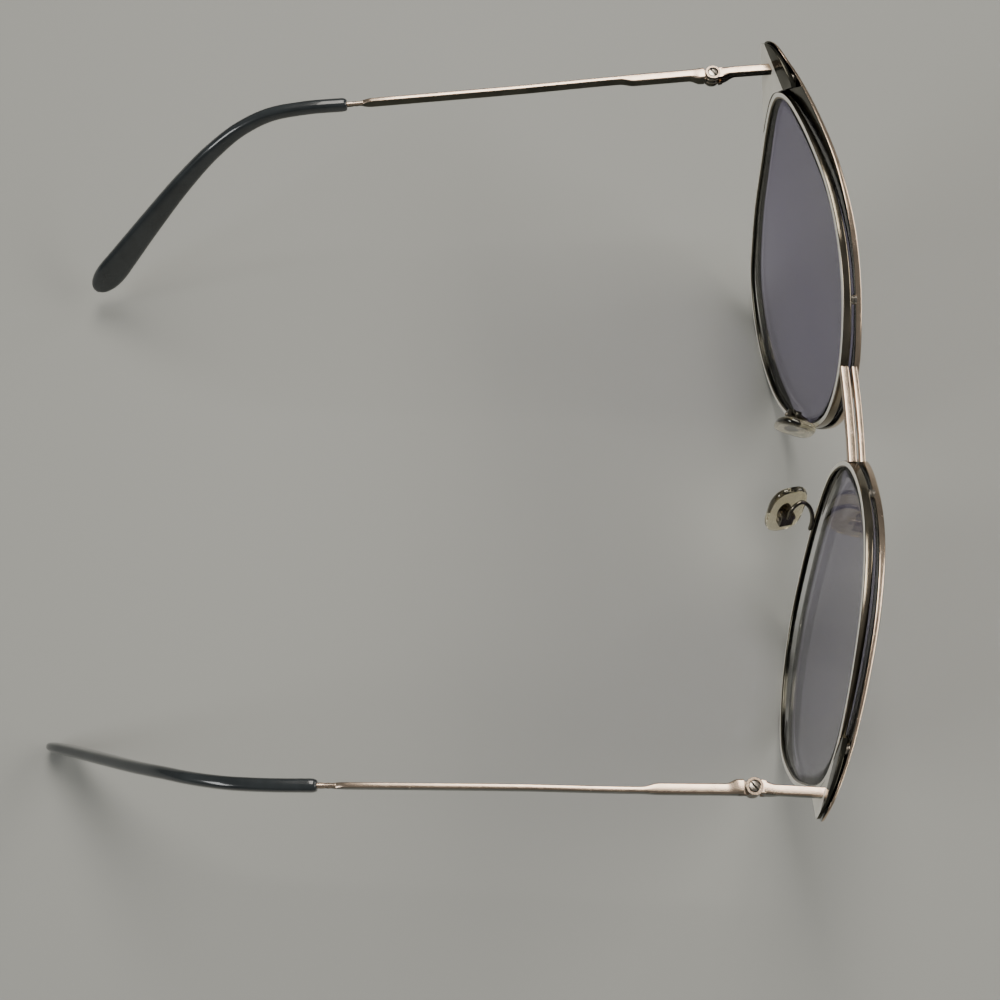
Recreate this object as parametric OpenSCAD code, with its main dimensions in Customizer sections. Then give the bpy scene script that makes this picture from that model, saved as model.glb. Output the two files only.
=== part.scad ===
// Metal cat-eye spectacle frame with a magnetic clip-on sun front.
// Millimetres. X is the width, the front faces -Y, the temples run to +Y, Z is up.
// z = 0 is the surface that the rims and the temple tips rest on.
// Every piece is drawn for the +X side, and mirrored for the -X side.

/* [Front layers] */
// Depth of the metal eye rim, front to back, at the middle of the front
rim_depth = 1.7; // [1.4:0.1:2]
// Width of the eye rim seen from the front
rim_width = 1.2; // [1:0.05:1.4]
// Space between the frame and the clip-on at the middle of the front
layer_gap = 0.8; // [0.7:0.05:1.2]
// Depth of the clip-on's metal front
clip_depth = 1.2; // [1:0.1:1.6]
// Thickness of the clear lenses
clear_lens_depth = 0.6; // [0.5:0.05:0.8]
// Thickness of the grey clip-on lenses
grey_lens_depth = 0.5; // [0.4:0.05:0.7]
// Height of the two bridge bars
bridge_height = 1.3; // [1:0.1:1.6]
// Height of the top of the bridge bars
bridge_top = 46; // [44:0.5:47]

/* [Hinges] */
// Distance of each hinge axis from the middle plane
hinge_x = 68; // [66:0.5:70]
// Height of the middle of the hinge
hinge_z = 50.1; // [49.8:0.05:50.4]
// Radius of the hinge knuckles
knuckle_r = 1.45; // [1.3:0.05:1.6]
// Height of the middle knuckle, on the temple
middle_knuckle = 0.9; // [0.8:0.05:1]
// Height of the top and bottom knuckles, on the end piece
outer_knuckle = 0.8; // [0.7:0.05:0.9]
// Radius of the hinge screw
hinge_screw_r = 0.55; // [0.45:0.05:0.6]
// Running clearance in the hinge
hinge_play = 0.05; // [0.03:0.01:0.08]

/* [Temples] */
// Thickness of the temple bar behind the hinge
thick_bar = 1.75; // [1.6:0.05:1.9]
// Height of the temple bar behind the hinge
thick_bar_height = 1.8; // [1.7:0.05:2.2]
// Thickness of the long thin stretch of the temple bar
thin_bar = 0.95; // [0.9:0.05:1.1]
// Height of the long thin stretch of the temple bar
thin_bar_height = 1.9; // [1.7:0.1:2]
// Slope of the temple down to the rear, in degrees
temple_slope = 5.8; // [5.5:0.1:6.1]
// Turn of the temple towards the head, in degrees
temple_turn = 3; // [2.8:0.05:3.2]
// Swing of both temples towards the right at rest, in degrees: one stands wider than the other
temple_swing = 1.85; // [0:0.05:2]
// Extra slope of the right temple, and missing slope of the left one, in degrees
temple_drop = 0.9; // [0:0.1:1]

/* [Nose pads] */
// Height of a nose pad
pad_height = 12; // [11.5:0.5:13]
// Width of a nose pad
pad_width = 7.8; // [7:0.2:8]
// Radius of the wire of the pad arms
pad_wire_r = 0.42; // [0.35:0.01:0.45]
// Radius of the pad screws
pad_screw_r = 0.35; // [0.3:0.05:0.4]

/* [Hidden] */
$fn = 48;

gold = [0.78, 0.68, 0.56];
steel = [0.62, 0.61, 0.59];
slate = [0.16, 0.18, 0.19];
amber = [0.86, 0.78, 0.58];
clear_tint = [0.85, 0.88, 0.90, 0.35];
grey_tint = [0.36, 0.35, 0.42, 0.7];

// Depths of the layers, measured forwards from the back of the frame
rim_front = rim_depth;
clip_back = rim_depth + layer_gap;
clip_front_face = clip_back + clip_depth;
lens_mid = rim_depth / 2;
clip_lens_mid = clip_back + clip_depth / 2;

// The back of the frame is a shallow bowl, and the layers close up towards the corners
back_y = -70.25;
bowl_mid_z = 27;
bowl_x_radius = 247;
bowl_z_radius = 454;
closing_half_width = 92;
// Beyond this distance from the middle the corners wrap back more
wrap_start = 62;
wrap_gain = 0.0075;

// Outline of the lens opening as x, z points on the +X side
lens_outline = [
    [6.6, 33], [9.6, 22.3], [16.5, 11.5], [26, 3.6], [37, 1.2],
    [49, 5], [58, 17], [62.6, 30], [64.4, 37], [65.2, 42],
    [65.3, 45.5], [64.8, 48], [63.3, 50.2], [60.5, 52.4], [56, 54.2],
    [48, 56.3], [38, 57.9], [27, 56.7], [17, 51.7], [9.5, 43.7]
];
// Cat-eye outer edge of the clip-on, one point for each point of the lens opening
brow_outline = [
    [5.3, 33], [8.4, 21.7], [15.6, 10.6], [25.5, 2.5], [37, 0.1],
    [49.7, 4], [59.1, 16.4], [63.9, 29.7], [66.2, 36.6], [68.8, 41.4],
    [71.2, 46.3], [73.1, 50.6], [73.7, 53.3], [72.5, 55.2], [66.5, 56.9],
    [52.5, 59.8], [40, 60.8], [30, 59.1], [18.3, 53.3], [8.3, 44.6]
];
// Corner plate of the frame: its outer edge, and its edge against the rim
plate_outer = [
    [65.9, 37], [68.4, 41.6], [70.8, 46.5], [72.7, 50.8], [73.3, 53.3], [72.2, 54.8], [61.6, 57.4]
];
plate_inner = [
    [65.6, 36.7], [66.3, 41.7], [66.5, 45.5], [66.2, 47.4], [64.6, 50.5], [63, 53.4], [61, 56.8]
];
per_span = 4;

// Temple and hinge
hinge_y = -48.7;
hinge_height = middle_knuckle + 2 * outer_knuckle + 2 * hinge_play;
bar_offset = 0.4;
bar_rise = 0.2;
thick_bar_start = 1.8;
thick_bar_end = 17.4;
thin_bar_end = 66;
neck_r = 0.5;
core_end = 80;
arm_depth = 11.2;
arm_thickness = 1.65;
arm_height = 1.6;
arm_rise = 0.55;
arm_turn = 3.5;
block_start = -1.55;
block_length = 1.3;

// Centre line of the temple tip sleeve
tip_path = [
    [64.8, 20.1, 43.3], [64.4, 28, 42.5], [63.6, 35, 41.1], [62.2, 40.5, 38.4], [60.2, 45.8, 34.2],
    [57.6, 51.8, 27.8], [54.3, 58.4, 19.8], [50.8, 65.2, 11.1], [47.5, 71.8, 2.6]
];
tip_rings = 24;
tip_sides = 12;
tip_thickness = 2.2;
tip_front_height = 2.5;
tip_end_height = 7;

// Nose pad frames: the two pads are bent to slightly different places and turns
right_pad_place = [8.9, -64, 21];
left_pad_place = [8.3, -65.9, 24.6];
right_pad_turn = [6, -17, -16];
left_pad_turn = [0, -17, -16];
// The box sits behind the middle of the pad
pad_shift = -0.9;
pad_thickness = 1.5;
pad_pivot = 1.3;
pad_box_front = 0.45;
pad_box_back = 2.15;
pad_box_width = 2.6;
pad_box_height = 2.8;
pad_slot = 1.2;
// Pad arm from its foot on the rim to its box, for a pad in the right pad's place
pad_arm_path = [
    [11.2, -69.6, 18.3], [10.4, -69.6, 20.4], [9.5, -69.1, 22.6], [8.7, -68, 24.4],
    [8.5, -66.6, 25.3], [9.2, -65.3, 25], [10.1, -64.6, 23.8], [10.65, -64.4, 22.3]
];

// Magnet pairs as x, z, radius, height above its layer
magnet_spots = [[18.7, 53.3, 0.9, 0.32], [63.2, 56.2, 1.1, 0.16]];
magnet_seat = 0.1;

// ---- Curves and surfaces ----

function layer_y(x, z, depth) =
    back_y + x * x / (2 * bowl_x_radius) + pow(z - bowl_mid_z, 2) / (2 * bowl_z_radius)
    + wrap_gain * pow(max(0, abs(x) - wrap_start), 2)
    - depth * (1 - pow(x / closing_half_width, 2));

function on_layer(p, depth) = [p[0], layer_y(p[0], p[1], depth), p[1]];

// Slope of a smooth curve at the middle one of three points, per unit of length
function slope_at(a, b, c) =
    let (before = norm(b - a), after = norm(c - b))
    ((b - a) * after / before + (c - b) * before / after) / (before + after);

// Point on a cubic between b and c, with a before and d after them
function between(a, b, c, d, t) =
    let (span = norm(c - b), sb = slope_at(a, b, c) * span, sc = slope_at(b, c, d) * span)
    b * (2 * t * t * t - 3 * t * t + 1) + sb * (t * t * t - 2 * t * t + t)
    + c * (3 * t * t - 2 * t * t * t) + sc * (t * t * t - t * t);

function closed_curve(p, per) =
    let (n = len(p))
    [for (i = [0:n - 1]) for (k = [0:per - 1])
        between(p[(i + n - 1) % n], p[i], p[(i + 1) % n], p[(i + 2) % n], k / per)];

function open_point(p, i) =
    i < 0 ? 2 * p[0] - p[1] : i >= len(p) ? 2 * p[len(p) - 1] - p[len(p) - 2] : p[i];

function open_curve(p, per) =
    [for (i = [0:len(p) - 2]) for (k = [0:per - 1])
        between(open_point(p, i - 1), p[i], p[i + 1], open_point(p, i + 2), k / per),
        p[len(p) - 1]];

// Outward unit normals of a closed outline that runs anticlockwise
function outward(loop) =
    let (n = len(loop))
    [for (i = [0:n - 1])
        let (t = loop[(i + 1) % n] - loop[(i + n - 1) % n])
        [t[1], -t[0]] / norm(t)];

lens_loop = closed_curve(lens_outline, per_span);
lens_normals = outward(lens_loop);
brow_loop = closed_curve(brow_outline, per_span);
loop_count = len(lens_loop);
rim_loop = [for (i = [0:loop_count - 1]) lens_loop[i] + lens_normals[i] * rim_width];

// Triangles of a skin over rings of m points each; closed joins the last ring to the first
function skin(rings, m, closed) =
    [for (i = [0:rings - (closed ? 1 : 2)]) for (k = [0:m - 1])
        let (a = i * m + k, b = i * m + (k + 1) % m,
             c = ((i + 1) % rings) * m + (k + 1) % m, d = ((i + 1) % rings) * m + k)
        for (f = [[a, b, c], [a, c, d]]) f];

// ---- Shapes ----

module mirrored(left) {
    if (left) children();
    else mirror([1, 0, 0]) children();
}

// Ring between the lens opening and an outer loop, with a V groove for the lens
module eye_ring(outer_loop, back, front, groove) {
    mid = (back + front) / 2;
    lip = (front - back) * 0.19;
    points = [for (i = [0:loop_count - 1])
        let (in = lens_loop[i], out = outer_loop[i], root = in + lens_normals[i] * groove)
        for (q = [
            on_layer(out, back), on_layer(out, front), on_layer(in, front), on_layer(in, mid + lip),
            on_layer(root, mid), on_layer(in, mid - lip), on_layer(in, back)
        ]) q];
    polyhedron(points, skin(loop_count, 7, true), convexity = 6);
}

// Lens: a dished disc with a bevelled edge that sits in the groove
module lens_disc(mid, thickness, bevel) {
    middle = [36, 30];
    scales = [0.16, 0.45, 0.75, 1];
    n = len(scales);
    half = thickness / 2;
    points = concat(
        [on_layer(middle, mid - half)],
        [for (s = scales) for (p = lens_loop) on_layer(middle + (p - middle) * s, mid - half)],
        [for (i = [0:loop_count - 1]) on_layer(lens_loop[i] + lens_normals[i] * bevel, mid)],
        [for (k = [n - 1:-1:0]) for (p = lens_loop)
            on_layer(middle + (p - middle) * scales[k], mid + half)],
        [on_layer(middle, mid + half)]);
    last = len(points) - 1;
    rings = 2 * n + 1;
    faces = concat(
        [for (k = [0:loop_count - 1]) [0, 1 + k, 1 + (k + 1) % loop_count]],
        [for (f = skin(rings, loop_count, false)) [f[0] + 1, f[2] + 1, f[1] + 1]],
        [for (k = [0:loop_count - 1])
            [last, last - loop_count + (k + 1) % loop_count, last - loop_count + k]]);
    polyhedron(points, faces, convexity = 4);
}

// Tube through rings of points, with flat ends
module swept(rings) {
    m = len(rings[0]);
    n = len(rings);
    points = [for (r = rings) for (p = r) p];
    faces = concat(
        skin(n, m, false),
        [for (k = [1:m - 2]) [0, k + 1, k]],
        [for (k = [1:m - 2]) [(n - 1) * m, (n - 1) * m + k, (n - 1) * m + k + 1]]);
    polyhedron(points, faces, convexity = 6);
}

// Frame vectors of a path at ring i: the side axis stays near a given direction
function path_tangent(path, i) =
    let (a = path[max(i - 1, 0)], b = path[min(i + 1, len(path) - 1)]) (b - a) / norm(b - a);
function side_axis(t, near) = let (s = near - t * (near * t)) s / norm(s);

module on_hinge() {
    translate([hinge_x, hinge_y, hinge_z]) children();
}

// Swing of a temple about its hinge axis
module swung(left) {
    rotate([0, 0, left ? temple_swing : -temple_swing]) children();
}

module on_pad(left) {
    translate(left ? left_pad_place : right_pad_place)
        rotate(left ? left_pad_turn : right_pad_turn) children();
}

// ---- Frame ----

module base_rim(left) {
    color(gold) mirrored(left) eye_ring(rim_loop, 0, rim_front, 0.45);
}

// Bar between the two sides, following the curve of its layer
module bridge_bar(back, front, half_width, bottom) {
    steps = 6;
    rings = [for (i = [0:steps])
        let (x = half_width * (2 * i / steps - 1))
        [
            on_layer([x, bottom], front), on_layer([x, bottom + bridge_height], front),
            on_layer([x, bottom + bridge_height], back), on_layer([x, bottom], back)
        ]];
    swept(rings);
}

module base_bridge() {
    color(gold) bridge_bar(0.05, rim_front, 9.2, bridge_top - bridge_height);
}

module corner_plate(left) {
    outer = open_curve(plate_outer, per_span);
    inner = open_curve(plate_inner, per_span);
    rings = [for (i = [0:len(outer) - 1]) [
        on_layer(outer[i], 0), on_layer(outer[i], rim_front),
        on_layer(inner[i], rim_front), on_layer(inner[i], 0)
    ]];
    color(gold) mirrored(left) swept(rings);
}

module endpiece(left) {
    bore_r = hinge_screw_r + 0.02;
    head_r = 1.05;
    color(gold) mirrored(left) on_hinge() difference() {
        union() {
            for (s = [-1, 1])
                translate([0, 0, s * (hinge_height - outer_knuckle) / 2])
                    cylinder(r = knuckle_r, h = outer_knuckle, center = true);
            for (s = [-1, 1])
                translate([bar_offset - arm_thickness / 2, block_start - 0.3,
                        s * (hinge_height - outer_knuckle) / 2 - outer_knuckle / 2])
                    cube([arm_thickness, 1.1, outer_knuckle]);
            translate([bar_offset - arm_thickness / 2, block_start - block_length, -hinge_height / 2])
                cube([arm_thickness, block_length, hinge_height]);
            translate([bar_offset, block_start, arm_rise]) rotate([-temple_slope, 0, arm_turn])
                translate([-arm_thickness / 2, -arm_depth - block_start, -arm_height / 2])
                    cube([arm_thickness, arm_depth + block_start - 0.5, arm_height]);
        }
        translate([0, 0, hinge_play / 2]) cylinder(r = bore_r, h = hinge_height);
        translate([0, 0, -hinge_height]) cylinder(r = hinge_screw_r, h = hinge_height);
        translate([0, 0, hinge_height / 2 - 0.4]) cylinder(r = head_r, h = 1);
    }
}

module hinge_screw(left) {
    color(steel) mirrored(left) on_hinge() difference() {
        union() {
            translate([0, 0, -hinge_height / 2]) cylinder(r = hinge_screw_r, h = hinge_height - 0.2);
            translate([0, 0, hinge_height / 2 - 0.4]) cylinder(r = 1, h = 0.35);
        }
        translate([-1.2, -0.12, hinge_height / 2 - 0.2]) cube([2.4, 0.24, 0.4]);
    }
}

module lens_clear(left) {
    color(clear_tint) mirrored(left) lens_disc(lens_mid, clear_lens_depth, 0.43);
}

module pad_arm(left) {
    move = left ? left_pad_place - right_pad_place : [0, 0, 0];
    last = len(pad_arm_path) - 1;
    bent = [for (i = [0:last]) pad_arm_path[i] + move * pow(i / last, 1.5)];
    path = open_curve(bent, 3);
    n = len(path);
    rings = [for (i = [0:n - 1])
        let (t = path_tangent(path, i), s = side_axis(t, [1, 0.2, 0.1]), u = cross(s, t))
        [for (k = [0:7]) path[i] + pad_wire_r * (s * cos(45 * k) + u * sin(45 * k))]];
    color(gold) mirrored(left) swept(rings);
}

module pad_box(left) {
    color(gold) mirrored(left) on_pad(left) difference() {
        translate([pad_box_front, -pad_box_width / 2, -pad_box_height / 2])
            cube([pad_box_back - pad_box_front, pad_box_width, pad_box_height]);
        translate([pad_box_front - 1, -pad_slot / 2, -pad_box_height])
            cube([pad_box_back - pad_box_front + 0.75, pad_slot, 2 * pad_box_height]);
        translate([pad_pivot, 0, 0]) rotate([90, 0, 0])
            cylinder(r = pad_screw_r, h = 4, center = true);
    }
}

module pad_screw(left) {
    color(steel) mirrored(left) on_pad(left) translate([pad_pivot, 0, 0]) {
        rotate([90, 0, 0]) cylinder(r = pad_screw_r, h = pad_box_width + 0.5, center = true);
        translate([0, -pad_box_width / 2, 0]) rotate([90, 0, 0]) cylinder(r = 0.65, h = 0.45);
    }
}

// Rounded D of soft silicone on a stub that turns on the pad screw
module nose_pad(left) {
    sides = 28;
    // Place through the thickness, and share of the full outline, of each ring
    layers = [[0, 0.84], [-0.22, 0.95], [-0.55, 1], [-0.95, 1], [-1.28, 0.95], [-1.5, 0.84]];
    rings = [for (r = layers)
        [for (k = [0:sides - 1])
            let (q = 360 * k / sides, c = cos(q), s = sin(q),
                 y = pad_width * 0.49 * sign(c) * pow(abs(c), c > 0 ? 0.75 : 0.6),
                 z = pad_height * 0.49 * sign(s) * pow(abs(s), 0.7))
            [r[0] * pad_thickness / 1.5, y * r[1] + pad_shift, z * r[1]]]];
    color(amber) mirrored(left) on_pad(left) swept(rings);
    color(steel) mirrored(left) on_pad(left) difference() {
        union() {
            translate([-0.3, -0.5, -0.55]) cube([pad_pivot + 0.3, 1, 1.1]);
            translate([pad_pivot, 0, 0]) rotate([90, 0, 0]) cylinder(r = 0.6, h = 1, center = true);
        }
        translate([pad_pivot, 0, 0]) rotate([90, 0, 0])
            cylinder(r = pad_screw_r + 0.04, h = 4, center = true);
    }
}

// Disc magnets on the face of a layer; towards is 1 for forwards and -1 for backwards
module magnet_discs(depth, towards) {
    for (m = magnet_spots)
        translate(on_layer([m[0], m[1]], depth))
            rotate([0, 0, atan(m[0] / bowl_x_radius)])
                rotate([90, 0, 0])
                    translate([0, 0, towards > 0 ? -magnet_seat : -m[3]])
                        cylinder(r = m[2], h = m[3] + magnet_seat);
}

module base_magnets(left) {
    color(steel) mirrored(left) magnet_discs(rim_front, 1);
}

// ---- Temples ----

module temple(left) {
    color(gold) mirrored(left) on_hinge() swung(left) difference() {
        union() {
            cylinder(r = knuckle_r, h = middle_knuckle, center = true);
            translate([bar_offset - thick_bar / 2, 0.9, -middle_knuckle / 2])
                cube([thick_bar, 1.5, middle_knuckle]);
            translate([bar_offset, 0, bar_rise])
                rotate([-temple_slope + (left ? temple_drop : -temple_drop), 0, temple_turn]) {
                translate([-thick_bar / 2, thick_bar_start, -thick_bar_height / 2])
                    cube([thick_bar, thick_bar_end - thick_bar_start, thick_bar_height]);
                translate([-thin_bar / 2, thick_bar_end - 0.5, -thin_bar_height / 2])
                    cube([thin_bar, thin_bar_end - thick_bar_end + 0.5, thin_bar_height]);
                translate([0, thin_bar_end - 0.5, 0]) rotate([-90, 0, 0])
                    cylinder(r = neck_r, h = core_end - thin_bar_end + 0.5);
            }
        }
        cylinder(r = hinge_screw_r + hinge_play, h = 4, center = true);
    }
}

// Sleeve height grows to the paddle end, and both ends are rounded off
function tip_half_height(s) =
    let (nose = s < 0.02 ? 0.72 : s < 0.045 ? 0.93 : 1,
         tail = s > 0.93 ? sqrt(max(0.04, 1 - pow((s - 0.93) / 0.072, 2))) : 1)
    nose * tail * (tip_front_height + (tip_end_height - tip_front_height) * pow(s, 2.6)) / 2;
function tip_half_width(s) =
    let (nose = s < 0.02 ? 0.72 : s < 0.045 ? 0.93 : 1,
         tail = s > 0.93 ? sqrt(max(0.16, 1 - pow((s - 0.93) / 0.078, 2))) : 1)
    nose * tail * tip_thickness / 2;

module temple_tip(left) {
    path = open_curve(tip_path, 3);
    n = len(path);
    ring_at = concat([0, 0.3, 0.9], [for (i = [2:tip_rings - 4]) i * (n - 1) / tip_rings],
        [n - 4.1, n - 3.2, n - 2.6, n - 2, n - 1.5, n - 1.2, n - 1]);
    rings = [for (a = ring_at)
        let (i = min(floor(a), n - 2), f = a - i, c = path[i] * (1 - f) + path[i + 1] * f,
             t = path_tangent(path, round(a)), side = side_axis(t, [1, 0, 0]), up = cross(side, t),
             s = a / (n - 1), w = tip_half_width(s), h = tip_half_height(s))
        [for (k = [0:tip_sides - 1])
            let (q = 360 * k / tip_sides, cq = cos(q), sq = sin(q))
            c + side * w * sign(cq) * pow(abs(cq), 0.75) + up * h * sign(sq) * pow(abs(sq), 0.75)]];
    color(slate) mirrored(left) on_hinge() swung(left) rotate([left ? temple_drop : -temple_drop, 0, 0])
        translate([-hinge_x, -hinge_y, -hinge_z]) swept(rings);
}

// ---- Clip-on ----

module clip_front(left) {
    color(gold) mirrored(left) eye_ring(brow_loop, clip_back, clip_front_face, 0.35);
}

module clip_bridge() {
    color(gold) bridge_bar(clip_back - 0.4, clip_front_face - 0.45, 9.2, bridge_top - bridge_height);
}

module clip_lens(left) {
    color(grey_tint) mirrored(left) lens_disc(clip_lens_mid, grey_lens_depth, 0.33);
}

module clip_magnets(left) {
    color(steel) mirrored(left) magnet_discs(clip_back, -1);
}

base_rim(false);  // base_rim_right
base_rim(true);  // base_rim_left
base_bridge();
corner_plate(false);  // corner_plate_right
corner_plate(true);  // corner_plate_left
endpiece(false);  // endpiece_right
endpiece(true);  // endpiece_left
lens_clear(false);  // lens_clear_right
lens_clear(true);  // lens_clear_left
pad_arm(false);  // pad_arm_right
pad_arm(true);  // pad_arm_left
pad_box(false);  // pad_box_right
pad_box(true);  // pad_box_left
pad_screw(false);  // pad_screw_right
pad_screw(true);  // pad_screw_left
nose_pad(false);  // nose_pad_right
nose_pad(true);  // nose_pad_left
hinge_screw(false);  // hinge_screw_right
hinge_screw(true);  // hinge_screw_left
base_magnets(false);  // base_magnets_right
base_magnets(true);  // base_magnets_left
temple(false);  // temple_right
temple(true);  // temple_left
temple_tip(false);  // temple_tip_right
temple_tip(true);  // temple_tip_left
clip_front(false);  // clip_front_right
clip_front(true);  // clip_front_left
clip_bridge();
clip_lens(false);  // clip_lens_right
clip_lens(true);  // clip_lens_left
clip_magnets(false);  // clip_magnets_right
clip_magnets(true);  // clip_magnets_left
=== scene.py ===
"""Metal cat-eye spectacles with a clip-on sun front, on a pale floor."""
import math

import bmesh
import bpy
import numpy as np
from mathutils import Matrix, Vector


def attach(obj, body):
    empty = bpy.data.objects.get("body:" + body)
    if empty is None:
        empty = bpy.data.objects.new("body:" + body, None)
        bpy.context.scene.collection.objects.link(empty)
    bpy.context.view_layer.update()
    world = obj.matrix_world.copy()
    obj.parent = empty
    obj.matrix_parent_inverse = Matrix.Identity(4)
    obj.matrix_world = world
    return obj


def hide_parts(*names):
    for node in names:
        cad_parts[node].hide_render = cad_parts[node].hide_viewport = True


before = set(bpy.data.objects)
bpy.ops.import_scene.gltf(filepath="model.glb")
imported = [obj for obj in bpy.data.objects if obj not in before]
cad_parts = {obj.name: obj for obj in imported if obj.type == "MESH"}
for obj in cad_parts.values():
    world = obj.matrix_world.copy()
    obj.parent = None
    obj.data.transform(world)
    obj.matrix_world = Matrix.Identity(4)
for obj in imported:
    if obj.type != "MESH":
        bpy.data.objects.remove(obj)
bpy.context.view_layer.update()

MM = 0.001
SIDES = ("right", "left")

# ---------------------------------------------------------------- dimensions, in millimetres and degrees
# Layers of the front, counted forwards from the back of the frame
RIM_DEPTH = 1.7
LAYER_GAP = 0.8
CLIP_DEPTH = 1.2
CLIP_BACK = RIM_DEPTH + LAYER_GAP
CLIP_FRONT = CLIP_BACK + CLIP_DEPTH
RIM_WIDTH = 1.2

# The shallow bowl that every layer follows, and where it wraps round towards the temples
FRONT_Y = -70.25
BOWL_ACROSS = 494
BOWL_UP = 908
BOWL_MIDDLE = 27
WRAP_START = 62
WRAP_RATE = 0.0075
LAYERS_MEET = 92

# Bridge bars and lenses
BRIDGE_HALF = 9.3
BRIDGE_HEIGHT = 45.35
BRIDGE_THICK = 1.3
LENS_MIDDLE = np.array([36.0, 30.0])
LENS_BOTTOM = 1
LENS_TOP = 58

# Hinge axis on the +X side, its knuckles and its screw slot
HINGE = np.array([68.0, -48.7, 50.1])
KNUCKLE_RADIUS = 1.45
KNUCKLE_BEVEL = 0.05
SLOT_SIZE = (2.4, 0.3, 0.42)
SLOT_HEIGHT = 1.25
SLOT_TURN = 38

# Stance of the temples and of the arms that reach forwards from the hinges
TEMPLE_SWING = 1.85
TEMPLE_DROP = 0.9
TEMPLE_SLOPE = 5.8
TEMPLE_TURN = 3.0
TEMPLE_OFFSET = np.array([0.4, 0, 0.2])
ARM_TURN = 3.5
ARM_OFFSET = np.array([0.4, -1.55, 0.55])

# Outlines as x, z points on the +X side: lens opening, cat-eye brow, corner plate edges
LENS_OUTLINE = [
    (6.6, 33), (9.6, 22.3), (16.5, 11.5), (26, 3.6), (37, 1.2),
    (49, 5), (58, 17), (62.6, 30), (64.4, 37), (65.2, 42),
    (65.3, 45.5), (64.8, 48), (63.3, 50.2), (60.5, 52.4), (56, 54.2),
    (48, 56.3), (38, 57.9), (27, 56.7), (17, 51.7), (9.5, 43.7),
]
BROW_OUTLINE = [
    (5.3, 33), (8.4, 21.7), (15.6, 10.6), (25.5, 2.5), (37, 0.1),
    (49.7, 4), (59.1, 16.4), (63.9, 29.7), (66.2, 36.6), (68.8, 41.4),
    (71.2, 46.3), (73.1, 50.6), (73.7, 53.3), (72.5, 55.2), (66.5, 56.9),
    (52.5, 59.8), (40, 60.8), (30, 59.1), (18.3, 53.3), (8.3, 44.6),
]
PLATE_OUTER = [
    (65.9, 37), (68.4, 41.6), (70.8, 46.5), (72.7, 50.8), (73.3, 53.3), (72.2, 54.8), (61.6, 57.4),
]
PLATE_INNER = [
    (65.6, 36.7), (66.3, 41.7), (66.5, 45.5), (66.2, 47.4), (64.6, 50.5), (63, 53.4), (61, 56.8),
]
PLATE_SHADE_PAINTED_FROM = 4.7  # spans of the plate after which its back gets painted shade instead of the painted highlight, under the brow

# Centre line of a sleeve, before the swing and drop of its temple
TIP_PATH = [
    (64.8, 20.1, 43.3), (64.4, 28, 42.5), (63.6, 35, 41.1), (62.2, 40.5, 38.4), (60.2, 45.8, 34.2),
    (57.6, 51.8, 27.8), (54.3, 58.4, 19.8), (50.8, 65.2, 11.1), (47.5, 71.8, 2.6),
]

# Nose pads: places, turns about X, Y and Z, half sizes, and the right arm's centre line
PAD_PLACE = {"right": np.array([8.9, -64.0, 21.0]), "left": np.array([8.3, -65.9, 24.6])}
PAD_TURN = {"right": (6, -17, -16), "left": (0, -17, -16)}
PAD_HALF_WIDE = 3.82
PAD_HALF_TALL = 5.88
PAD_SHIFT = -0.9
PAD_ARM_RADIUS = 0.4
PAD_ARM_PATH = [
    (11.2, -69.6, 18.3), (10.4, -69.6, 20.4), (9.5, -69.1, 22.6), (8.7, -68.0, 24.4),
    (8.5, -66.6, 25.3), (9.2, -65.3, 25.0), (10.1, -64.6, 23.8), (10.65, -64.4, 22.3),
]


# ---------------------------------------------------------------- curves and surfaces
def layer_y(x, z, depth):
    """The back of the frame is a shallow bowl; layers close up and wrap towards the corners."""
    wrap = WRAP_RATE * np.maximum(0, np.abs(x) - WRAP_START) ** 2
    bowl = FRONT_Y + x * x / BOWL_ACROSS + (z - BOWL_MIDDLE) ** 2 / BOWL_UP
    return bowl + wrap - depth * (1 - (x / LAYERS_MEET) ** 2)


def on_layer(points, depth):
    """Lay x, z points on the layer that is this far in front of the frame's back."""
    p = np.asarray(points, float)
    return np.stack([p[..., 0], layer_y(p[..., 0], p[..., 1], depth), p[..., 1]], -1)


def slope_at(a, b, c):
    """Direction of the curve at b, from the chords to its neighbours."""
    before, after = np.linalg.norm(b - a), np.linalg.norm(c - b)
    return ((b - a) * after / before + (c - b) * before / after) / (before + after)


def between(a, b, c, d, t):
    """Cubic span from b to c that keeps its direction over the joints with its neighbours."""
    span = np.linalg.norm(c - b)
    sb, sc = slope_at(a, b, c) * span, slope_at(b, c, d) * span
    t = t[:, None]
    return (b * (2 * t**3 - 3 * t**2 + 1) + sb * (t**3 - 2 * t**2 + t)
            + c * (3 * t**2 - 2 * t**3) + sc * (t**3 - t**2))


def closed_curve(points, per):
    p = np.array(points, float)
    n = len(p)
    t = np.arange(per) / per
    return np.vstack([between(p[i - 1], p[i], p[(i + 1) % n], p[(i + 2) % n], t) for i in range(n)])


def open_curve(points, per):
    p = np.array(points, float)
    p = np.vstack([2 * p[0] - p[1], p, 2 * p[-1] - p[-2]])
    t = np.arange(per) / per
    spans = [between(p[i - 1], p[i], p[i + 1], p[i + 2], t) for i in range(1, len(p) - 2)]
    return np.vstack(spans + [p[-2:-1]])


def outward(loop):
    """Unit normals of a closed loop, pointing away from its inside."""
    t = np.roll(loop, -1, 0) - np.roll(loop, 1, 0)
    n = np.stack([t[:, 1], -t[:, 0]], -1)
    return n / np.linalg.norm(n, axis=1, keepdims=True)


def turn(axis, degrees):
    return np.array(Matrix.Rotation(math.radians(degrees), 3, axis))


def smooth(a, b, x):
    """Soft step from 0 at a to 1 at b."""
    t = np.clip((x - a) / (b - a), 0, 1)
    return t * t * (3 - 2 * t)


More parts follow.
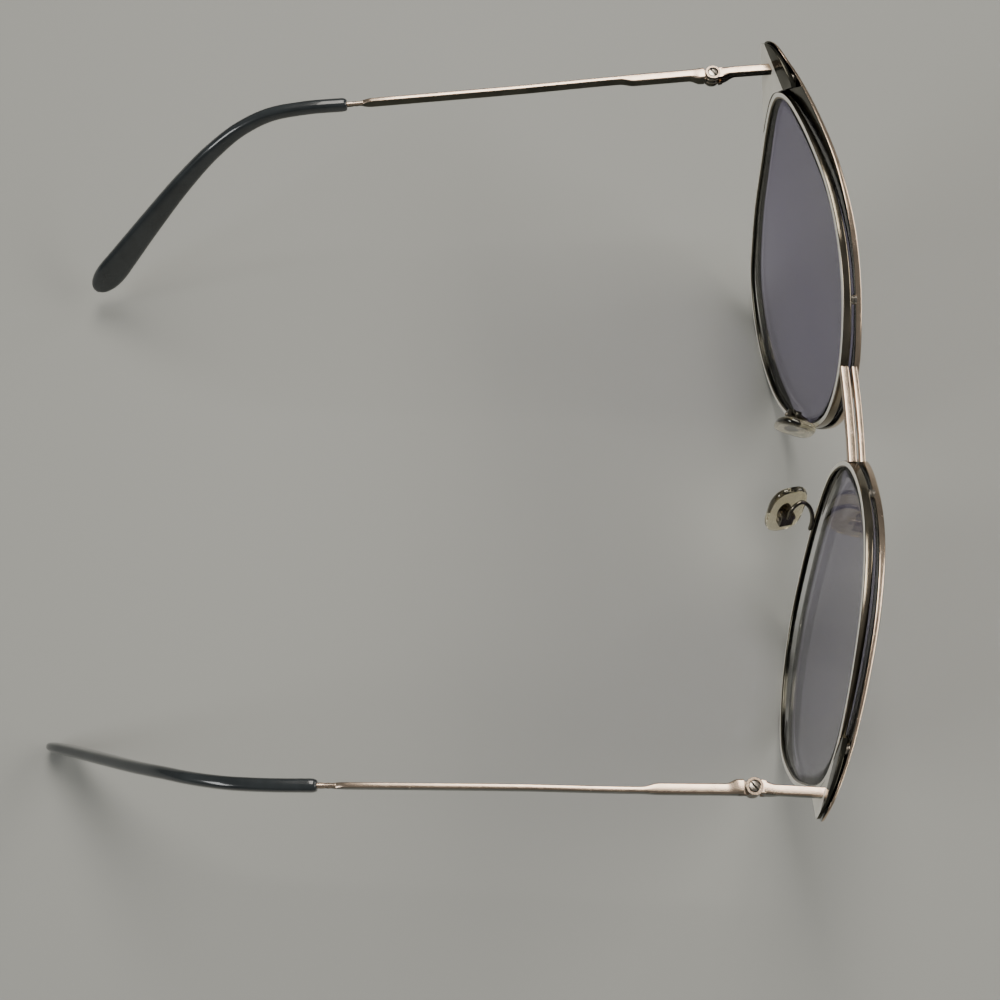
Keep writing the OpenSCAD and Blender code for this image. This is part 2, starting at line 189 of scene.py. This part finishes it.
PER = 14  # points on each span of an outline
LENS_LOOP = closed_curve(LENS_OUTLINE, PER)
LENS_NORMALS = outward(LENS_LOOP)
BROW_LOOP = closed_curve(BROW_OUTLINE, PER)
RIM_LOOP = LENS_LOOP + LENS_NORMALS * RIM_WIDTH


# ---------------------------------------------------------------- mesh building
def make_mesh(name, shells, material, body, side="left", sharp=45):
    """Join closed shells (points in mm, faces) to one piece; the right side is mirrored."""
    verts, faces = [], []
    for points, polys in shells:
        start = len(verts)
        points = np.array(points, float)
        if side == "right":
            points[:, 0] *= -1
            polys = [tuple(reversed(f)) for f in polys]
        verts += [tuple(p * MM) for p in points]
        faces += [tuple(start + i for i in f) for f in polys]
    mesh = bpy.data.meshes.new(name)
    mesh.from_pydata(verts, [], faces)
    bm = bmesh.new()
    bm.from_mesh(mesh)
    bmesh.ops.recalc_face_normals(bm, faces=bm.faces)
    bm.to_mesh(mesh)
    bm.free()
    mesh.shade_smooth()
    mesh.set_sharp_from_angle(angle=math.radians(sharp))
    mesh.materials.append(material)
    piece = bpy.data.objects.new(name, mesh)
    bpy.context.scene.collection.objects.link(piece)
    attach(piece, body)
    return piece


def skin(rings, closed):
    """Quads over rings of equal length; open runs get end caps."""
    n, m = len(rings), len(rings[0])
    points = np.vstack(rings)
    faces = [(i * m + k, i * m + (k + 1) % m, (i + 1) % n * m + (k + 1) % m, (i + 1) % n * m + k)
             for i in range(n if closed else n - 1) for k in range(m)]
    if not closed:
        faces += [tuple(range(m))[::-1], tuple((n - 1) * m + k for k in range(m))]
    return points, faces


def band_rings(inner, outer, back, front, radius, groove=0.0, roll=None):
    """Rounded-edge section between an inner and an outer loop, at every station.

    Columns 0-4 turn the back outer edge, 5-9 the front outer edge (roll is its depth),
    10-14 the front inner edge, then the lens groove, and last the back inner edge.
    """
    width = np.linalg.norm(outer - inner, axis=1)
    direction = (outer - inner) / np.maximum(width, 1e-6)[:, None]
    r = np.minimum(radius, width * 0.45)
    roll = roll or radius
    quarter = [math.radians(22.5 * i) for i in range(5)]
    section = []
    section += [("out", 1 - math.sin(a), back, (1 - math.cos(a)) * radius) for a in quarter]
    section += [("out", 1 - math.cos(a), front, -(1 - math.sin(a)) * roll) for a in quarter]
    section += [("in", 1 - math.sin(a), front, -(1 - math.cos(a)) * radius) for a in quarter]
    if groove:
        mid, lip = (back + front) / 2, (front - back) * 0.17
        section += [("root", 0, mid + lip, 0), ("root", groove, mid, 0), ("root", 0, mid - lip, 0)]
    section += [("in", 1 - math.cos(a), back, (1 - math.sin(a)) * radius) for a in quarter]
    columns = []
    for anchor, off, depth, shift in section:
        if anchor == "out":
            xz = outer - direction * (off * r)[:, None]
        elif anchor == "in":
            xz = inner + direction * (off * r)[:, None]
        else:
            xz = inner + direction * off
        columns.append(on_layer(xz, depth + shift))
    return [np.array([c[i] for c in columns]) for i in range(len(inner))]


def round_section(half_w, half_h, power=0.45, count=32):
    """Rounded rectangle; power 1 makes it an ellipse."""
    a = np.arange(count) * 2 * math.pi / count
    c, s = np.cos(a), np.sin(a)
    across = half_w * np.sign(c) * np.abs(c) ** power
    up = half_h * np.sign(s) * np.abs(s) ** power
    return np.stack([across, up], -1)


def lathe(profile, steps=64):
    """Closed ring from a closed (radius, height) profile round the local Z axis."""
    p = np.array(profile, float)
    rings = []
    for i in range(steps):
        a = 2 * math.pi * i / steps
        rings.append(np.stack([p[:, 0] * math.cos(a), p[:, 0] * math.sin(a), p[:, 1]], -1))
    return skin(rings, True)


def bar(stations, power=0.45):
    """Loft along local Y: each station is (y, x centre, z centre, width, height)."""
    rings = []
    for y, cx, cz, w, h in stations:
        s = round_section(w / 2, h / 2, power)
        rings.append(np.stack([cx + s[:, 0], np.full(len(s), y), cz + s[:, 1]], -1))
    return skin(rings, False)


def moved(shell, matrix, offset):
    """Turn a shell about the origin, then shift it."""
    points, faces = shell
    return np.array(points) @ np.array(matrix).T + np.array(offset), faces


# ---------------------------------------------------------------- materials
def new_material(name):
    m = bpy.data.materials.new(name)
    m.use_nodes = True
    return m, m.node_tree.nodes, m.node_tree.links, m.node_tree.nodes["Principled BSDF"]


def noise(nodes, links, scale, detail, coords):
    n = nodes.new("ShaderNodeTexNoise")
    n.inputs["Scale"].default_value = scale
    n.inputs["Detail"].default_value = detail
    links.new(coords, n.inputs["Vector"])
    return n


def ramp(nodes, links, value, stops):
    r = nodes.new("ShaderNodeValToRGB")
    while len(r.color_ramp.elements) < len(stops):
        r.color_ramp.elements.new(0.5)
    for e, (at, colour) in zip(r.color_ramp.elements, stops):
        e.position = at
        e.color = (*colour, 1)
    links.new(value, r.inputs["Fac"])
    return r


def polished_metal(name, light, deep, rough=0.16, metallic=1.0):
    """Plated metal: slight tone drift, fine polishing lines and faint wear in the gloss."""
    m, nodes, links, shader = new_material(name)
    shader.inputs["Metallic"].default_value = metallic
    coords = nodes.new("ShaderNodeTexCoord").outputs["Object"]
    drift = noise(nodes, links, 160, 3, coords)
    links.new(ramp(nodes, links, drift.outputs["Fac"], [(0.3, deep), (0.7, light)]).outputs["Color"],
              shader.inputs["Base Color"])
    wear = noise(nodes, links, 900, 4, coords)
    gloss = nodes.new("ShaderNodeMapRange")
    gloss.inputs["To Min"].default_value = rough * 0.7
    gloss.inputs["To Max"].default_value = rough * 1.5
    links.new(wear.outputs["Fac"], gloss.inputs["Value"])
    links.new(gloss.outputs["Result"], shader.inputs["Roughness"])
    lines = noise(nodes, links, 2600, 2, coords)
    bump = nodes.new("ShaderNodeBump")
    bump.inputs["Strength"].default_value = 0.03
    bump.inputs["Distance"].default_value = 0.00003
    links.new(lines.outputs["Fac"], bump.inputs["Height"])
    links.new(bump.outputs["Normal"], shader.inputs["Normal"])
    return m


def lens_material(name, stops, ior):
    """Clear or tinted lens; the tint runs from the bottom of the lens to its top."""
    m, nodes, links, shader = new_material(name)
    shader.inputs["Transmission Weight"].default_value = 1.0
    shader.inputs["Roughness"].default_value = 0.0
    shader.inputs["IOR"].default_value = ior
    coords = nodes.new("ShaderNodeTexCoord").outputs["Object"]
    split = nodes.new("ShaderNodeSeparateXYZ")
    links.new(coords, split.inputs["Vector"])
    height = nodes.new("ShaderNodeMapRange")
    height.inputs["From Min"].default_value = LENS_BOTTOM * MM
    height.inputs["From Max"].default_value = LENS_TOP * MM
    links.new(split.outputs["Z"], height.inputs["Value"])
    tint = ramp(nodes, links, height.outputs["Result"], stops)
    links.new(tint.outputs["Color"], shader.inputs["Base Color"])
    return m


def soft_plastic(name, colour, second, rough, coat, transmission=0.0, ior=1.45):
    """Moulded plastic or silicone: two close tones in a soft mottle, and a fine grain."""
    m, nodes, links, shader = new_material(name)
    coords = nodes.new("ShaderNodeTexCoord").outputs["Object"]
    mottle = noise(nodes, links, 220, 4, coords)
    links.new(ramp(nodes, links, mottle.outputs["Fac"], [(0.35, colour), (0.7, second)]).outputs["Color"],
              shader.inputs["Base Color"])
    shader.inputs["Roughness"].default_value = rough
    shader.inputs["IOR"].default_value = ior
    shader.inputs["Transmission Weight"].default_value = transmission
    shader.inputs["Coat Weight"].default_value = coat
    grain = noise(nodes, links, 3000, 3, coords)
    bump = nodes.new("ShaderNodeBump")
    bump.inputs["Strength"].default_value = 0.05
    bump.inputs["Distance"].default_value = 0.00003
    links.new(grain.outputs["Fac"], bump.inputs["Height"])
    links.new(bump.outputs["Normal"], shader.inputs["Normal"])
    return m


GOLD = polished_metal("pale_gold", (0.70, 0.55, 0.42), (0.60, 0.47, 0.36), 0.22)
# Painted half shade: a dim copy of the gold for faces that sit in dark reflections.
PAINTED_HALF_SHADE = polished_metal("painted_half_shade_gold", (0.34, 0.29, 0.22), (0.16, 0.14, 0.105), 0.16)
# Painted shade: a near-black copy of the gold for side faces, backs, grooves and recesses.
PAINTED_SHADE = polished_metal("painted_shade_gold", (0.115, 0.11, 0.085), (0.06, 0.058, 0.047), 0.16)
# Painted highlight: a near-white, rougher copy of the metal for back faces and edges.
PAINTED_HIGHLIGHT = polished_metal("painted_highlight_back", (1.0, 0.97, 0.88), (0.93, 0.90, 0.80), 0.3, 0.25)
STEEL = polished_metal("screw_steel", (0.60, 0.54, 0.46), (0.42, 0.38, 0.33), 0.2)
BOX_METAL = polished_metal("pad_box_metal", (0.20, 0.18, 0.14), (0.08, 0.075, 0.06), 0.2)
SLEEVE = soft_plastic("sleeve_slate", (0.020, 0.024, 0.026), (0.032, 0.038, 0.041), 0.2, 0.6)
PAD = soft_plastic("pad_silicone", (1.0, 0.93, 0.72), (0.97, 0.85, 0.56), 0.08, 0.6,
                   transmission=1.0, ior=1.38)
CLEAR = lens_material("clear_lens", [(0.0, (0.96, 0.96, 0.97)), (1.0, (0.94, 0.94, 0.96))], 1.1)
GREY = lens_material("grey_gradient_lens", [(0.0, (0.38, 0.365, 0.47)), (0.45, (0.27, 0.25, 0.36)),
                                            (1.0, (0.20, 0.185, 0.27))], 1.14)


# ---------------------------------------------------------------- front of the frame and of the clip-on
def paint_shade_on_faces(piece, material, wanted):
    """Paint shade: give a second material, a darker copy of the metal, to the faces for which
    wanted(centre, normal) holds, in mm.
    """
    piece.data.materials.append(material)
    for f in piece.data.polygons:
        if wanted(f.center / MM, f.normal):
            f.material_index = len(piece.data.materials) - 1


def paint_light_on_columns(piece, count, painted_tones):
    """Paint light and shade by section column: each listed column gets a lit or shaded copy of the metal;
    the column of a face is its index round the section.
    """
    for material, columns in painted_tones:
        piece.data.materials.append(material)
        for f in piece.data.polygons:
            if f.index % count in columns:
                f.material_index = len(piece.data.materials) - 1


RIM_COLUMNS = 23  # faces round the section of a band that has a lens groove
PLATE_COLUMNS = 20  # and of one that has none


def build_base_rim(side):
    """Eye wire: painted highlight on the back face, painted half shade (dim gold) outside, painted shade on
    the front face and lens groove.
    """
    rings = band_rings(LENS_LOOP, RIM_LOOP, 0, RIM_DEPTH, 0.35, 0.4)
    piece = make_mesh("eye_rim_" + side, [skin(rings, True)], PAINTED_HALF_SHADE, "frame", side)
    paint_light_on_columns(piece, RIM_COLUMNS, [(PAINTED_HIGHLIGHT, (0, 1, 22)), (PAINTED_SHADE, range(8, 20))])
    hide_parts("base_rim_" + side)


def build_clip_front(side):
    """Cat-eye sun front: gold rolled edge, painted half shade (dim gold) on the front face, painted shade
    on the back and lens groove.
    """
    rings = band_rings(LENS_LOOP, BROW_LOOP, CLIP_BACK, CLIP_FRONT, 0.22, 0.32, 0.85)
    piece = make_mesh("sun_front_" + side, [skin(rings, True)], GOLD, "clip_on", side)
    shade_painted_columns = (*range(3), *range(14, RIM_COLUMNS))
    paint_light_on_columns(piece, RIM_COLUMNS, [(PAINTED_SHADE, shade_painted_columns), (PAINTED_HALF_SHADE, range(9, 14))])
    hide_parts("clip_front_" + side)


def build_corner_plate(side):
    """Corner plate of the frame: painted highlight on its back, painted shade on its other faces and on its
    back under the brow.
    """
    outer, inner = open_curve(PLATE_OUTER, PER), open_curve(PLATE_INNER, PER)
    rings = band_rings(inner, outer, 0, RIM_DEPTH, 0.25)
    piece = make_mesh("corner_" + side, [skin(rings, False)], PAINTED_SHADE, "frame", side)
    paint_light_on_columns(piece, PLATE_COLUMNS, [(PAINTED_HIGHLIGHT, (0, 1, 18, 19))])
    # Painted shade replaces the painted highlight on the stations under the brow.
    for f in piece.data.polygons:
        if f.index // PLATE_COLUMNS >= PLATE_SHADE_PAINTED_FROM * PER:
            f.material_index = 0
    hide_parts("corner_plate_" + side)


def build_bridge(name, body, back, front, node):
    """Flat bar between the eyes that follows the layers from back to front."""
    section = round_section((front - back) / 2, BRIDGE_THICK / 2, 0.4)
    depth = (front + back) / 2 + section[:, 0]
    z = BRIDGE_HEIGHT + section[:, 1]
    rings = []
    for x in np.linspace(-BRIDGE_HALF, BRIDGE_HALF, 41):
        xs = np.full(len(section), x)
        rings.append(np.stack([xs, layer_y(xs, z, depth), z], -1))
    piece = make_mesh(name, [skin(rings, False)], GOLD, body)
    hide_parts(node)


def build_lens(side, mid, thickness, edge, material, body, name, node):
    """Curved lens with a pointed edge that sits in the rim's groove."""
    half = thickness / 2
    loops = [LENS_MIDDLE + (LENS_LOOP - LENS_MIDDLE) * s for s in np.linspace(0.06, 1, 12)]
    rings = [on_layer(loop, mid - half) for loop in loops]
    rings.append(on_layer(LENS_LOOP + LENS_NORMALS * edge, mid))
    rings += [on_layer(loop, mid + half) for loop in loops[::-1]]
    piece = make_mesh(name, [skin(rings, False)], material, body, side, 60)
    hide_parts(node)


# ---------------------------------------------------------------- hinges and temples
def knuckle(z0, z1, hole, head=None):
    """Hinge barrel with a bore, and a recess of radius head for the screw's head."""
    r, b = KNUCKLE_RADIUS, KNUCKLE_BEVEL
    profile = [(hole, z0), (r - b, z0), (r, z0 + b), (r, z1 - b), (r - b, z1)]
    profile += [(head, z1), (head, z1 - 0.5), (hole, z1 - 0.5)] if head else [(hole, z1)]
    return lathe(profile)


def flank(stations, outer=1.275):
    """Stations of a boss: (y, inner edge, bottom, top) become a loft with a straight outer edge."""
    return [(y, (inner + outer) / 2, (low + top) / 2, outer - inner, top - low)
            for y, inner, low, top in stations]


def build_endpiece(side):
    """Arm that carries the upper and lower knuckles, and the two webs that join them to it."""
    knuckles = [moved(knuckle(0.5, 1.29, 0.57, 1.03), np.eye(3), HINGE),
                moved(knuckle(-1.3, -0.5, 0.57), np.eye(3), HINGE)]
    arm = [(y, -0.825 - 0.58 * (1 - smooth(0.3, -1.9, y)), -0.8 - 1.02 * (1 - smooth(-0.9, -2.6, y)), 0.78)
           for y in (-9.6, -8, -6, -4, -3, -2.6, -2.3, -2, -1.7, -1.4, -1.1, -0.8, -0.5, -0.2, 0)]
    bars = [bar(flank(arm, 0.825), 0.3)]
    for low, top in ((-0.05, 0.76), (-1.84, -1.05)):
        web = [(-0.3, -1.34, low, top), (0.1, -1.42, low, top), (0.5, -1.5, low, top)]
        bars.append(bar(flank(web, 0.82), 0.2))
    tilt = turn("Z", ARM_TURN) @ turn("X", -TEMPLE_SLOPE)
    shells = knuckles + [moved(shell, tilt, HINGE + ARM_OFFSET) for shell in bars]
    piece = make_mesh("end_piece_" + side, shells, GOLD, "frame", side)
    # Painted shade on the side faces of the arm and knuckles.
    paint_shade_on_faces(piece, PAINTED_SHADE, lambda c, n: abs(n.z) < 0.5)
    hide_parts("endpiece_" + side)


def build_hinge_screw(side):
    """Slotted cheese-head screw with a softened rim; the slot stands at an angle."""
    head = [(0.0, 0.88), (0.84, 0.88), (0.87, 0.92), (0.87, 1.1), (0.81, 1.18), (0.5, 1.22), (0.0, 1.23)]
    shank = [(0.0, -1.28), (0.5, -1.28), (0.54, -1.24), (0.54, 0.9), (0.0, 0.9)]
    shells = [moved(lathe(profile, 48), np.eye(3), HINGE) for profile in (head, shank)]
    piece = make_mesh("hinge_screw_head_" + side, shells, STEEL, "frame", side)
    cutter = bpy.data.meshes.new("slot")
    bm = bmesh.new()
    sign = 1 if side == "left" else -1
    matrix = (Matrix.Translation((sign * HINGE[0] * MM, HINGE[1] * MM, (HINGE[2] + SLOT_HEIGHT) * MM))
              @ Matrix.Rotation(math.radians(SLOT_TURN), 4, "Z")
              @ Matrix.Diagonal((*(size * MM for size in SLOT_SIZE), 1)))
    bmesh.ops.create_cube(bm, size=1, matrix=matrix)
    bm.to_mesh(cutter)
    bm.free()
    tool = bpy.data.objects.new("slot", cutter)
    bpy.context.scene.collection.objects.link(tool)
    cut = piece.modifiers.new("slot", "BOOLEAN")
    cut.object = tool
    cut.solver = "EXACT"
    bpy.context.view_layer.update()
    cleaned = bpy.data.meshes.new_from_object(piece.evaluated_get(bpy.context.evaluated_depsgraph_get()))
    piece.modifiers.clear()
    piece.data = cleaned
    bpy.data.objects.remove(tool)
    # Painted shade on the screw's sides and on its lower part.
    paint_shade_on_faces(piece, PAINTED_SHADE, lambda c, n: abs(n.z) < 0.5 or c[2] < HINGE[2] + 1.1)
    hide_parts("hinge_screw_" + side)


def temple_move(side):
    """Both temples swing towards the right at rest; the right one hangs a little lower."""
    sign = 1 if side == "left" else -1
    return turn("Z", sign * TEMPLE_SWING), sign * TEMPLE_DROP


def build_temple(side):
    """Middle knuckle, flat boss, thick bar, thin bar and ringed round neck, bent from one bar."""
    swing, drop = temple_move(side)
    tilt = turn("Z", TEMPLE_TURN) @ turn("X", -TEMPLE_SLOPE + drop)
    shells = [moved(knuckle(-0.45, 0.45, 0.6), swing, HINGE)]
    web = [(0.9, -0.95, -0.44, 0.44), (1.7, -1.1, -0.44, 0.44), (2.4, -0.95, -0.44, 0.44)]
    shells.append(moved(bar(flank(web), 0.25), swing, HINGE))
    boss = []
    for y in (1.62, 1.9, 2.3, 2.6, 2.9, 3.2, 3.5, 3.8, 4.1, 4.4):
        slim = 0.3 * smooth(1.7, 4.4, y)
        boss.append((y, -1.58 + 0.705 * smooth(2.5, 4.4, y), -1.2 + slim, 1.2 - slim))
    thick = [(y, 0, 0, 1.75, 1.8) for y in (5.5, 7, 10, 13, 14.8)]
    shoulder = []
    for i in range(1, 8):
        step = smooth(0, 7, i)
        shoulder.append((14.8 + 0.4 * i, 0.25 * step, 0, 1.75 - 0.8 * step, 1.8 + 0.05 * step))
    thin = [(y, 0.25 * (1 - smooth(18, 40, y)), 0, 0.95, 1.85) for y in (20, 24, 30, 36, 42, 50, 60, 64.6)]
    end = [(65.2, 0, 0, 0.95, 1.7), (65.8, 0, 0, 0.95, 1.3), (66.2, 0, 0, 0.96, 1.0)]
    neck = [(y, 0, 0, wide, wide) for y, wide in ((66.0, 0.9), (66.4, 1.0), (66.9, 0.86), (67.4, 1.0),
                                                  (67.9, 0.86), (68.4, 1.0), (80, 1.0))]
    place = HINGE + swing @ TEMPLE_OFFSET
    shells.append(moved(bar(flank(boss, 0.875) + thick + shoulder + thin + end, 0.35), swing @ tilt, place))
    shells.append(moved(bar(neck, 1.0), swing @ tilt, place))
    piece = make_mesh("temple_bar_" + side, shells, GOLD, side + "_temple", side)
    # Painted shade on the side faces of the temple.
    paint_shade_on_faces(piece, PAINTED_SHADE, lambda c, n: abs(n.z) < 0.45)
    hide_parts("temple_" + side)


def build_sleeve(side):
    """Glossy sleeve that swells towards its end: round nose, flat oval section, round tail."""
    swing, drop = temple_move(side)
    path = open_curve(TIP_PATH, 10)
    n = len(path)
    t = np.gradient(path, axis=0)
    t /= np.linalg.norm(t, axis=1, keepdims=True)
    marks = [0, 0.12, 0.35, 0.75, 1.3], np.arange(2, n - 8), np.linspace(n - 8, n - 1.02, 18)
    rings = []
    for a in np.concatenate(marks):
        i = min(int(a), n - 2)
        f = a - i
        c = path[i] * (1 - f) + path[i + 1] * f
        d = t[i] * (1 - f) + t[i + 1] * f
        d /= np.linalg.norm(d)
        s = a / (n - 1)
        across = np.array([1.0, 0, 0]) - d * d[0]
        across /= np.linalg.norm(across)
        up = np.cross(across, d)
        nose = math.sqrt(1 - (1 - min(a / 1.3, 1)) ** 2) * 0.35 + 0.65
        reach = max(0.0, (s - 0.91) / 0.09)
        tail = math.sqrt(max(0.0, 1 - reach ** 2.2))
        half_w = 1.1 * nose * max(tail, 0.12) ** 0.6
        half_h = (2.5 + 4.5 * s ** 2.6) / 2 * nose * max(tail, 0.05)
        section = round_section(half_w, half_h, 0.72)
        rings.append(c + np.outer(section[:, 0], across) + np.outer(section[:, 1], up))
    points, faces = skin(rings, False)
    shell = moved((points - HINGE, faces), swing @ turn("X", drop), HINGE)
    piece = make_mesh("tip_sleeve_" + side, [shell], SLEEVE, side + "_temple", side, 70)
    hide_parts("temple_tip_" + side)


# ---------------------------------------------------------------- nose pads
def on_pad(shell, side):
    """Put a shell from a pad's own frame, whose +X points away from the nose, in its place."""
    rx, ry, rz = PAD_TURN[side]
    return moved(shell, turn("Z", rz) @ turn("Y", ry) @ turn("X", rx), PAD_PLACE[side])


def build_nose_pad(side):
    """Clear D-shaped cushion with a rolled edge, its metal insert, and the pivot eye."""
    count = 80
    a = np.arange(count) * 2 * math.pi / count
    power = np.where(np.cos(a) > 0, 0.75, 0.6)
    wide = PAD_HALF_WIDE * np.sign(np.cos(a)) * np.abs(np.cos(a)) ** power
    tall = PAD_HALF_TALL * np.sign(np.sin(a)) * np.abs(np.sin(a)) ** 0.7
    profile = [(-0.14, 0.12), (-0.13, 0.45), (-0.1, 0.7), (-0.02, 0.84), (-0.03, 0.9),
               (-0.15, 0.95), (-0.38, 0.985), (-0.75, 1.0), (-1.1, 0.99), (-1.34, 0.95),
               (-1.46, 0.89), (-1.5, 0.78), (-1.47, 0.5), (-1.45, 0.12)]
    rings = [np.stack([np.full(count, x), wide * g + PAD_SHIFT, tall * g], -1) for x, g in profile]
    body = side + "_nose_pad"
    pad = make_mesh("silicone_pad_" + side, [on_pad(skin(rings, False), side)], PAD, body, side, 80)
    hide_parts("nose_pad_" + side)
    plate = [np.stack([np.full(count, x), np.cos(a) * 1.35 * g - 0.35, np.sin(a) * 2.3 * g], -1)
             for x, g in ((-0.62, 0.88), (-0.54, 1.0), (-0.3, 1.0), (-0.22, 0.88))]
    stub = bar([(-0.85, 0, 0, 1.0, 1.05), (0.9, 0, 0, 1.0, 1.05)], 0.4)
    stub = (stub[0] @ turn("Z", -90).T + np.array([0.4, 0, 0]), stub[1])
    eye = lathe([(0.39, -0.48), (0.6, -0.48), (0.6, 0.48), (0.39, 0.48)], 32)
    eye = (eye[0] @ turn("X", 90).T + np.array([1.3, 0, 0]), eye[1])
    shells = [on_pad(shell, side) for shell in (skin(plate, False), stub, eye)]
    insert = make_mesh("pad_insert_" + side, shells, BOX_METAL, body, side)


def build_pad_arm(side):
    """Bent round wire from the rim to the pad's box; its end follows the place of the pad."""
    move = PAD_PLACE[side] - PAD_PLACE["right"]
    last = len(PAD_ARM_PATH) - 1
    bent = [np.array(p) + move * (i / last) ** 1.5 for i, p in enumerate(PAD_ARM_PATH)]
    path = open_curve(bent, 8)
    t = np.gradient(path, axis=0)
    t /= np.linalg.norm(t, axis=1, keepdims=True)
    lean = np.array([1, 0.2, 0.1])
    a = np.arange(16) * 2 * math.pi / 16
    rings = []
    for i, (c, d) in enumerate(zip(path, t)):
        s = lean - d * (lean @ d)
        s /= np.linalg.norm(s)
        u = np.cross(d, s)
        end = min(i, len(path) - 1 - i)
        r = PAD_ARM_RADIUS * (0.55 + 0.45 * math.sqrt(min(1, end / 2)))
        rings.append(c + r * (np.outer(np.cos(a), s) + np.outer(np.sin(a), u)))
    piece = make_mesh("pad_arm_wire_" + side, [skin(rings, False)], BOX_METAL, "frame", side, 70)
    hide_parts("pad_arm_" + side)


# ---------------------------------------------------------------- carried-over small parts
def dress(node, material):
    """Give a CAD node that stays in view its finished material."""
    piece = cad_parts[node]
    piece.data.materials.clear()
    piece.data.materials.append(material)


for side in SIDES:
    build_base_rim(side)
    build_corner_plate(side)
    build_clip_front(side)
    build_endpiece(side)
    build_hinge_screw(side)
    build_temple(side)
    build_sleeve(side)
    build_nose_pad(side)
    build_pad_arm(side)
    build_lens(side, RIM_DEPTH / 2, 0.6, 0.35, CLEAR, "frame", "clear_lens_" + side, "lens_clear_" + side)
    build_lens(side, (CLIP_BACK + CLIP_FRONT) / 2, 0.5, 0.28, GREY, "clip_on", "sun_lens_" + side,
               "clip_lens_" + side)
    dress("pad_screw_" + side, STEEL)
    dress("pad_box_" + side, BOX_METAL)
    dress("base_magnets_" + side, STEEL)
    dress("clip_magnets_" + side, STEEL)
build_bridge("bridge_bar", "frame", 0.05, RIM_DEPTH, "base_bridge")
build_bridge("sun_bridge_bar", "clip_on", CLIP_BACK - 0.4, CLIP_FRONT - 0.45, "clip_bridge")


# ---------------------------------------------------------------- floor, light and camera
def build_floor():
    """Plain pale floor, 8 m square."""
    mesh = bpy.data.meshes.new("floor")
    half = 4.0
    corners = [(-half, -half, 0), (half, -half, 0), (half, half, 0), (-half, half, 0)]
    mesh.from_pydata(corners, [], [(0, 1, 2, 3)])
    m = bpy.data.materials.new("pale_floor")
    m.use_nodes = True
    shader = m.node_tree.nodes["Principled BSDF"]
    shader.inputs["Base Color"].default_value = (0.33, 0.335, 0.315, 1)
    shader.inputs["Roughness"].default_value = 0.55
    mesh.materials.append(m)
    floor = bpy.data.objects.new("floor", mesh)
    bpy.context.scene.collection.objects.link(floor)


def soft_light(name, place, aim, size, power, colour=(1, 1, 1)):
    """Rectangular soft box at a place in metres, turned towards aim."""
    light = bpy.data.lights.new(name, "AREA")
    light.shape = "RECTANGLE"
    light.size, light.size_y = size
    light.energy = power
    light.color = colour
    o = bpy.data.objects.new(name, light)
    o.location = place
    o.rotation_euler = (Vector(aim) - Vector(place)).to_track_quat("-Z", "Y").to_euler()
    bpy.context.scene.collection.objects.link(o)


def build_light():
    """Dim grey studio, darkest at and below the horizon, with three large soft boxes."""
    world = bpy.data.worlds.new("studio")
    world.use_nodes = True
    nodes, links = world.node_tree.nodes, world.node_tree.links
    split = nodes.new("ShaderNodeSeparateXYZ")
    links.new(nodes.new("ShaderNodeTexCoord").outputs["Generated"], split.inputs["Vector"])
    sky = ramp(nodes, links, split.outputs["Z"], [(0.0, (0.10, 0.10, 0.095)), (0.5, (0.22, 0.225, 0.22)),
                                                  (1.0, (0.16, 0.16, 0.155))])
    links.new(sky.outputs["Color"], nodes["Background"].inputs["Color"])
    nodes["Background"].inputs["Strength"].default_value = 0.8
    bpy.context.scene.world = world
    soft_light("key", (0.55, 0.0, 1.1), (0, 0, 0), (0.5, 0.8), 10, (1.0, 0.95, 0.88))
    soft_light("front_box", (0.1, -0.95, 0.75), (0, -0.05, 0.03), (1.2, 0.35), 7, (1.0, 0.96, 0.90))
    soft_light("rear_box", (-0.35, 0.9, 0.7), (0, 0, 0.03), (0.6, 0.3), 5)


def build_camera():
    """Steep view from above the right temple, with the front of the glasses on the picture's right."""
    cam = bpy.data.cameras.new("camera")
    cam.sensor_width = 36
    cam.lens = 56.55
    cam.shift_x, cam.shift_y = 0.006, 0.035
    cam.clip_start = 0.01
    o = bpy.data.objects.new("camera", cam)
    right, up = Vector((0.00304, -0.99828, 0.0585)), Vector((0.93062, 0.02423, 0.36518))
    back = right.cross(up)
    turned = Matrix((right, up, back)).transposed().to_4x4()
    o.matrix_world = Matrix.Translation((-0.1216, 0.0062, 0.292)) @ turned
    bpy.context.scene.collection.objects.link(o)
    bpy.context.scene.camera = o


build_floor()
build_light()
build_camera()
